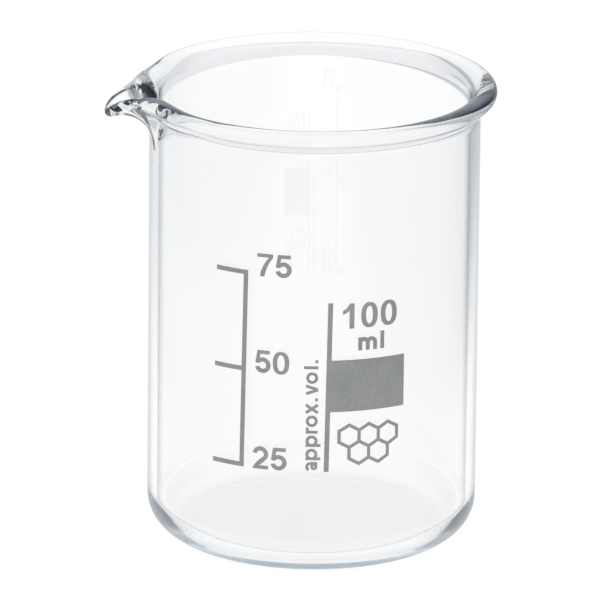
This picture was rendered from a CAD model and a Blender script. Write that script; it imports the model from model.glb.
"""Looks of a 100 ml low-form beaker: clear blown glass with a fired grey enamel print."""
import math

import bpy
import numpy as np
from mathutils import Matrix, Vector


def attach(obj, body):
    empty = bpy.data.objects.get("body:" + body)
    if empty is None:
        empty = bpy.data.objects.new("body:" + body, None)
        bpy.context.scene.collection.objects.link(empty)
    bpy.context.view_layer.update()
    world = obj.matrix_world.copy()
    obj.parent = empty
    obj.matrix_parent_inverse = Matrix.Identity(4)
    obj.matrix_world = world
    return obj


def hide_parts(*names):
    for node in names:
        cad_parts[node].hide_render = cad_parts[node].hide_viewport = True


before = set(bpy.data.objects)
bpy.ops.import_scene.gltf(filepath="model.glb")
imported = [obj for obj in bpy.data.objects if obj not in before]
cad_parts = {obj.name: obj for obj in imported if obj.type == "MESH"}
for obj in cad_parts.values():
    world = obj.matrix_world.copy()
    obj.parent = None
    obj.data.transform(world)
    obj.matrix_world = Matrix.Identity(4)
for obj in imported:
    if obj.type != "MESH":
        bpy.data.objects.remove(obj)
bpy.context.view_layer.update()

MM = 0.001
HAIR = 0.03                            # millimetres of air kept between faces that would otherwise meet

# ---- Looks: the glass and the enamel ---------------------------------------------------------
GLASS_IOR = 1.473                      # borosilicate glass
ABSORB_COLOUR = (0.50, 0.61, 0.67, 1)  # the glass is faintly blue where light runs far inside it
ABSORB_DENSITY = 20.0                  # per metre
GLASS_CLEAR = (0.982, 0.979, 0.977)    # tint of a face seen straight on
GLASS_EDGE = (0.06, 0.09, 0.11)        # tint of a face seen edge-on
EDGE_ON = (0.71, 0.92)                 # the Facing values over which one tint turns into the other
# Enamel between the clouds and in them, first where its grain is low and then where it is high
ENAMEL_DARK = ((0.220, 0.231, 0.229), (0.250, 0.256, 0.256))
ENAMEL_LIGHT = ((0.289, 0.300, 0.298), (0.327, 0.333, 0.331))
CLOUD_SIZE = 5.0                       # millimetres, like the grain's size and depth
GRAIN_SIZE = 0.16
GRAIN_DEPTH = 0.012
CLOUD_SPREAD = (0.32, 0.68)            # the noise values that count as wholly out of a cloud and in it
GRAIN_SPREAD = (0.3, 0.7)              # the same for the grain
GRAIN_ROUGHNESS = (0.62, 0.42)         # where the grain is low and where it is high

# ---- Looks: the stage ------------------------------------------------------------------------
# What the floor gives off. Its right and left sides dim between two distances from the beaker's
# axis, and its patch under the base ends between two radii, all in metres.
FLOOR_HALF = 6.0
FLOOR_WHITE = (0.99, 0.99, 0.99)
FLOOR_RIGHT = (0.052, 0.120, (0.50, 0.52, 0.55))
FLOOR_LEFT = (0.052, 0.105, (0.80, 0.82, 0.84))
FLOOR_BELOW = (0.019, 0.0235, (0.93, 0.94, 0.95))
SKY_LOW = (0.95, 0.95, 0.97)           # at the horizon and under it
SKY_HIGH = (1.05, 1.05, 1.07)          # overhead
# Soft flags in the sky: turn to the right, rise, full and outer radius in degrees, and shade
FLAGS = (
    (0, 0, 12, 40, (0.88, 0.88, 0.9)),
    (55, 8, 12, 45, (0.30, 0.33, 0.37)),
    (-55, 5, 12, 50, (0.25, 0.28, 0.32)),
)
FRONT_TURN = math.radians(13)          # the camera stands this far round from -Y, towards the spout

# ---- Sizes of the glass, in millimetres and degrees, as the CAD has them ---------------------
OUTER_R = 25.0
HEIGHT = 70.5
WALL = 1.5
FLOOR_T = 2.0
HEEL_R = 5.7
BEAD_R = 1.12          # the rim bead's own section
BEAD_OUT = 1.25        # how far its centre stands outside the wall
RIM_FILLET = 3.0       # the outer fillet under the bead
RIM_FLARE = 1.05       # the bore turns outwards this far below the bead's centre
SPOUT_REACH = 5.15     # how far the tip is drawn out
SPOUT_WIDTH = 10.8     # half the spout's width, as an angle
SPOUT_POWER = 2.65     # how steeply its sides fall away from the tip
SPOUT_DROP = 1.75      # how far the tip is bent down
SHOULDER_RISE = 0.6    # how far the rim rises beside the tip
RISE_AT = 11           # where that rise has its middle
RISE_W = 11            # and how wide it is
SHOULDER_PINCH = 0.7   # how far the rim is drawn in further round
PINCH_AT = 34
PINCH_W = 10.5
THROAT_DEPTH = 8.5     # the throat starts this far below the top
SPOUT_SLIM = 0.2       # the bead's section is this much slimmer at the tip
SEAM = 60.0            # the spout's last traces end this far from its middle
FADE_W = 12.0          # and fade out over this width

WALL_R = OUTER_R - HAIR    # inside the enamel's facets, which would otherwise cut into the glass
BORE_R = OUTER_R - WALL
INNER_HEEL = HEEL_R - 1.2
BEAD_C = OUTER_R + BEAD_OUT
BEAD_Z = HEIGHT - BEAD_R
FILLET_Z = BEAD_Z - math.sqrt((RIM_FILLET + BEAD_R) ** 2 - (RIM_FILLET - BEAD_OUT) ** 2)
FLARE_Z = BEAD_Z - RIM_FLARE
THROAT_Z = HEIGHT - THROAT_DEPTH
INNER_THROAT_Z = THROAT_Z - 1


# ---- The glass ------------------------------------------------------------------------------
def bell(a, w):
    """A smooth bump, 1 at 0, that is about w wide on each side."""
    return np.exp(-((a / w) ** 2))


def fade(a):
    """1 over the spout, falling smoothly to 0 where the plain rim begins."""
    t = np.clip((a - SEAM + FADE_W) / FADE_W, 0, 1)
    return (1 + np.cos(math.pi * t)) / 2


def arc(cr, cz, r, start, end, n):
    """Points on a circle's arc in the section plane, for every section at once."""
    t = start + (end - start) * np.linspace(0, 1, n)[:, None]
    return np.stack([cr + r * np.cos(t), cz + r * np.sin(t)], -1)


def line(r0, z0, r1, z1, n):
    """Points on a straight line in the section plane, for every section at once."""
    t = np.linspace(0, 1, n)[:, None]
    return np.stack([r0 + (r1 - r0) * t, z0 + (z1 - z0) * t], -1)


def fillet_radius(r, h, w, b):
    """Radius of the fillet that rises h from a wall at radius w into a bead of section b at radius r."""
    return (h * h + (r - w) ** 2 - b * b) / (2 * (r - w + b))


def glass_sections(a):
    """The outline of the glass at each angle a from the spout, in degrees: (point, section, 2).

    It runs from near the axis along the base, up the outer face, round the bead, down the bore and back
    over the floor. Its straight lines stop a little short of the arcs: the narrow ring of faces in
    between keeps the smooth shading of an arc from spreading over the flat face next to it.
    """
    # the bead's centre, which the spout draws out and bends down
    tongue = (1 + (a / SPOUT_WIDTH) ** 2) ** -SPOUT_POWER
    lip_r = BEAD_C + fade(a) * (SPOUT_REACH * tongue - SHOULDER_PINCH * bell(a - PINCH_AT, PINCH_W))
    droop = (1 + (a / (SPOUT_WIDTH / 2)) ** 2) ** -2
    lip_z = BEAD_Z + fade(a) * (SHOULDER_RISE * bell(a - RISE_AT, RISE_W) - SPOUT_DROP * droop)
    # the heights where the outer and the inner face leave the wall: the throat is narrower inside
    throat = fade(a) * (1 + (a / (1.5 * SPOUT_WIDTH)) ** 2) ** -2
    zo = FILLET_Z + (THROAT_Z - FILLET_Z) * throat
    zi = FLARE_Z + (INNER_THROAT_Z - FLARE_Z) * fade(a) * tongue ** 1.5
    # the fillets that join them to the bead, and the angles where they meet it
    bead = BEAD_R - SPOUT_SLIM * fade(a) * bell(a, 2 * SPOUT_WIDTH)
    ro = fillet_radius(lip_r, lip_z - zo, WALL_R, bead)
    ri = fillet_radius(lip_r, lip_z - zi, BORE_R, -bead)
    to = np.arctan2(lip_z - zo, lip_r - WALL_R - ro)
    ti = np.arctan2(lip_z - zi, lip_r - BORE_R - ri)
    one = np.ones_like(a)
    pi = math.pi
    heel_in = FLOOR_T + INNER_HEEL
    hub = 0.5              # radius of the fans of triangles that close the shell on the axis
    gap = 0.4              # how far a straight line stops short of an arc
    parts = [
        line(hub * one, 0 * one, (WALL_R - HEEL_R - gap) * one, 0 * one, 6),
        arc((WALL_R - HEEL_R) * one, HEEL_R * one, HEEL_R * one, -pi / 2 * one, 0 * one, 36),
        line(WALL_R * one, (HEEL_R + gap) * one, WALL_R * one, zo - gap, 40),
        arc(WALL_R + ro, zo, ro, pi * one, to, 30),
        arc(lip_r, lip_z, bead, to - pi, ti, 44)[1:-1],
        arc(BORE_R + ri, zi, ri, ti, pi * one, 30),
        line(BORE_R * one, zi - gap, BORE_R * one, (heel_in + gap) * one, 40),
        arc((BORE_R - INNER_HEEL) * one, heel_in * one, INNER_HEEL * one, 0 * one, -pi / 2 * one, 30),
        line((BORE_R - INNER_HEEL - gap) * one, FLOOR_T * one, hub * one, FLOOR_T * one, 6),
    ]
    return np.concatenate(parts)


def make_glass():
    """One closed smooth shell: the outline swept once round the axis."""
    n = 540                # sections round the axis
    turn = np.linspace(-180, 180, n, endpoint=False)
    # crowd the sections towards the spout, where the rim turns sharply
    crowding = 0.65
    turn = turn * (1 - crowding + crowding * (np.abs(turn) / 180) ** 1.2)
    outline = glass_sections(np.minimum(np.abs(turn), SEAM))
    ang = np.radians(180 + turn)
    r, z = outline[..., 0], outline[..., 1]
    rings = np.stack([r * np.cos(ang), r * np.sin(ang), z], -1) * MM
    m = len(rings)
    ends = np.array([[0, 0, 0], [0, 0, FLOOR_T * MM]])
    verts = np.vstack([rings.reshape(-1, 3), ends])
    j, k = np.meshgrid(np.arange(m - 1), np.arange(n), indexing="ij")
    nk = (k + 1) % n
    quads = np.stack([j * n + k, j * n + nk, (j + 1) * n + nk, (j + 1) * n + k], -1).reshape(-1, 4)
    # the two ends on the axis are the last vertices, and each closes its ring with triangles
    under, over = m * n, m * n + 1
    last = (m - 1) * n
    base = [(under, (i + 1) % n, i) for i in range(n)]
    floor = [(over, last + i, last + (i + 1) % n) for i in range(n)]
    mesh = bpy.data.meshes.new("glass_shell")
    mesh.from_pydata(verts.tolist(), [], quads.tolist() + base + floor)
    mesh.validate()
    mesh.shade_smooth()
    obj = bpy.data.objects.new("glass_shell", mesh)
    bpy.context.scene.collection.objects.link(obj)
    return obj


# ---- Materials ------------------------------------------------------------------------------
def new_material(name):
    """A material with its node tree and its Principled shader."""
    mat = bpy.data.materials.new(name)
    mat.use_nodes = True
    nt = mat.node_tree
    return mat, nt, nt.nodes["Principled BSDF"]


def along(nt, vector, direction):
    """How far a vector socket reaches along a fixed direction."""
    node = nt.nodes.new("ShaderNodeVectorMath")
    node.operation = "DOT_PRODUCT"
    nt.links.new(vector, node.inputs[0])
    node.inputs[1].default_value = direction
    return node.outputs["Value"]


def smooth_step(nt, x, low, high, from_value, to_value):
    """A value that turns smoothly from one to another while x goes from low to high."""
    node = nt.nodes.new("ShaderNodeMapRange")
    node.interpolation_type = "SMOOTHSTEP"
    nt.links.new(x, node.inputs["Value"])
    node.inputs["From Min"].default_value = low
    node.inputs["From Max"].default_value = high
    node.inputs["To Min"].default_value = from_value
    node.inputs["To Max"].default_value = to_value
    return node.outputs["Result"]


def noise(nt, size, detail):
    """A noise whose features are about this many millimetres across."""
    place = nt.nodes.new("ShaderNodeTexCoord").outputs["Object"]
    node = nt.nodes.new("ShaderNodeTexNoise")
    nt.links.new(place, node.inputs["Vector"])
    node.inputs["Scale"].default_value = 1 / (size * MM)
    node.inputs["Detail"].default_value = detail
    return node.outputs[0]


def blend(nt, factor, dark, light):
    """A colour between two, which are sockets or plain colours."""
    node = nt.nodes.new("ShaderNodeMix")
    node.data_type = "RGBA"
    nt.links.new(factor, node.inputs[0])
    for socket, colour in ((node.inputs[6], dark), (node.inputs[7], light)):
        if isinstance(colour, tuple):
            socket.default_value = (*colour, 1)
        else:
            nt.links.new(colour, socket)
    return node.outputs[2]


def glass_material():
    """Clear glass that darkens towards its outlines and is faintly blue along its wall."""
    mat, nt, bsdf = new_material("clear_glass")
    edge = nt.nodes.new("ShaderNodeLayerWeight").outputs["Facing"]
    edge = smooth_step(nt, edge, *EDGE_ON, 0.0, 1.0)
    nt.links.new(blend(nt, edge, GLASS_CLEAR, GLASS_EDGE), bsdf.inputs["Base Color"])
    bsdf.inputs["Roughness"].default_value = 0.0
    bsdf.inputs["IOR"].default_value = GLASS_IOR
    bsdf.inputs["Transmission Weight"].default_value = 1.0
    absorb = nt.nodes.new("ShaderNodeVolumeAbsorption")
    absorb.inputs["Color"].default_value = ABSORB_COLOUR
    absorb.inputs["Density"].default_value = ABSORB_DENSITY
    nt.links.new(absorb.outputs[0], nt.nodes["Material Output"].inputs["Volume"])
    return mat


def enamel_material():
    """Matt fired enamel: a cloudy grey with the fine grain that the printing screen leaves."""
    mat, nt, bsdf = new_material("grey_enamel")
    cloud = smooth_step(nt, noise(nt, CLOUD_SIZE, 3), *CLOUD_SPREAD, 0.0, 1.0)
    grain = smooth_step(nt, noise(nt, GRAIN_SIZE, 2), *GRAIN_SPREAD, 0.0, 1.0)
    dark = blend(nt, cloud, *ENAMEL_DARK)
    light = blend(nt, cloud, *ENAMEL_LIGHT)
    nt.links.new(blend(nt, grain, dark, light), bsdf.inputs["Base Color"])
    nt.links.new(smooth_step(nt, grain, 0.0, 1.0, *GRAIN_ROUGHNESS), bsdf.inputs["Roughness"])
    bump = nt.nodes.new("ShaderNodeBump")
    bump.inputs["Strength"].default_value = 0.35
    bump.inputs["Distance"].default_value = GRAIN_DEPTH * MM
    nt.links.new(grain, bump.inputs["Height"])
    nt.links.new(bump.outputs["Normal"], bsdf.inputs["Normal"])
    return mat


# ---- Stage ----------------------------------------------------------------------------------
RIGHT = Vector((math.cos(FRONT_TURN), -math.sin(FRONT_TURN), 0))  # the camera's right, on the floor
AHEAD = Vector((math.sin(FRONT_TURN), math.cos(FRONT_TURN), 0))   # away from the camera
UP = Vector((0, 0, 1))


def make_floor():
    """A white light table: bright round the beaker, dimmer to its left and right and under it."""
    mesh = bpy.data.meshes.new("floor")
    s = FLOOR_HALF
    z = -HAIR * MM             # the base rests on it with a thin film of air between
    mesh.from_pydata([(-s, -s, z), (s, -s, z), (s, s, z), (-s, s, z)], [], [(0, 1, 2, 3)])
    obj = bpy.data.objects.new("floor", mesh)
    bpy.context.scene.collection.objects.link(obj)
    mat, nt, bsdf = new_material("white_floor")
    bsdf.inputs["Base Color"].default_value = (0.05, 0.05, 0.05, 1)
    bsdf.inputs["Roughness"].default_value = 0.9
    bsdf.inputs["Specular IOR Level"].default_value = 0.0
    bsdf.inputs["Emission Strength"].default_value = 1.0
    place = nt.nodes.new("ShaderNodeTexCoord").outputs["Object"]
    across = along(nt, place, RIGHT)
    out = nt.nodes.new("ShaderNodeVectorMath")
    out.operation = "LENGTH"
    nt.links.new(place, out.inputs[0])
    right = smooth_step(nt, across, FLOOR_RIGHT[0], FLOOR_RIGHT[1], 0.0, 1.0)
    left = smooth_step(nt, across, -FLOOR_LEFT[0], -FLOOR_LEFT[1], 0.0, 1.0)
    below = smooth_step(nt, out.outputs["Value"], FLOOR_BELOW[0], FLOOR_BELOW[1], 1.0, 0.0)
    colour = blend(nt, right, FLOOR_WHITE, FLOOR_RIGHT[2])
    colour = blend(nt, left, colour, FLOOR_LEFT[2])
    colour = blend(nt, below, colour, FLOOR_BELOW[2])
    nt.links.new(colour, bsdf.inputs["Emission Color"])
    mesh.materials.append(mat)


def make_world():
    """A white studio with soft flags: each shades the directions round its own middle."""
    world = bpy.data.worlds.new("studio")
    bpy.context.scene.world = world
    world.use_nodes = True
    nt = world.node_tree
    background = nt.nodes["Background"]
    toward = nt.nodes.new("ShaderNodeTexCoord").outputs["Generated"]
    up = smooth_step(nt, along(nt, toward, UP), 0.0, 1.0, 0.0, 1.0)
    colour = blend(nt, up, SKY_LOW, SKY_HIGH)
    for turn, rise, inner, outer, shade in FLAGS:
        turn, rise = math.radians(turn), math.radians(rise)
        level = AHEAD * math.cos(turn) + RIGHT * math.sin(turn)
        middle = level * math.cos(rise) + UP * math.sin(rise)
        outside = math.cos(math.radians(outer))
        inside = math.cos(math.radians(inner))
        near = smooth_step(nt, along(nt, toward, middle), outside, inside, 0.0, 1.0)
        colour = blend(nt, near, colour, shade)
    nt.links.new(colour, background.inputs["Color"])


def make_camera():
    """A long lens at the photograph's angle, rolled a little."""
    elevation = math.radians(18.208)
    roll = math.radians(0.59)
    distance = 1.5
    middle = 0.035             # half the beaker's height
    shift_right = -1.989 * MM  # where the lens aims, beside and above that middle
    shift_up = 0.955 * MM
    back = UP * math.sin(elevation) - AHEAD * math.cos(elevation)
    up = back.cross(RIGHT)
    aim = UP * middle + RIGHT * shift_right + up * shift_up
    data = bpy.data.cameras.new("camera")
    data.lens = 594.6
    data.sensor_width = 36
    data.clip_end = 100
    cam = bpy.data.objects.new("camera", data)
    bpy.context.scene.collection.objects.link(cam)
    x = RIGHT * math.cos(roll) + up * math.sin(roll)
    y = up * math.cos(roll) - RIGHT * math.sin(roll)
    m = Matrix((x, y, back)).transposed().to_4x4()
    m.translation = aim + back * distance
    cam.matrix_world = m
    bpy.context.scene.camera = cam


glass = make_glass()
glass.data.materials.append(glass_material())
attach(glass, "root")
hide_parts("glass_body")

enamel = enamel_material()
for name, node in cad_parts.items():
    if name != "glass_body":
        node.data.materials.clear()
        node.data.materials.append(enamel)

make_floor()
make_world()
make_camera()
bpy.context.scene.view_settings.view_transform = "Standard"

# the glass guides light inside its wall, and with fewer bounces its rim and spout turn black
BOUNCES = 64
bpy.context.scene.cycles.max_bounces = BOUNCES
bpy.context.scene.cycles.transmission_bounces = BOUNCES
bpy.context.scene.cycles.glossy_bounces = BOUNCES
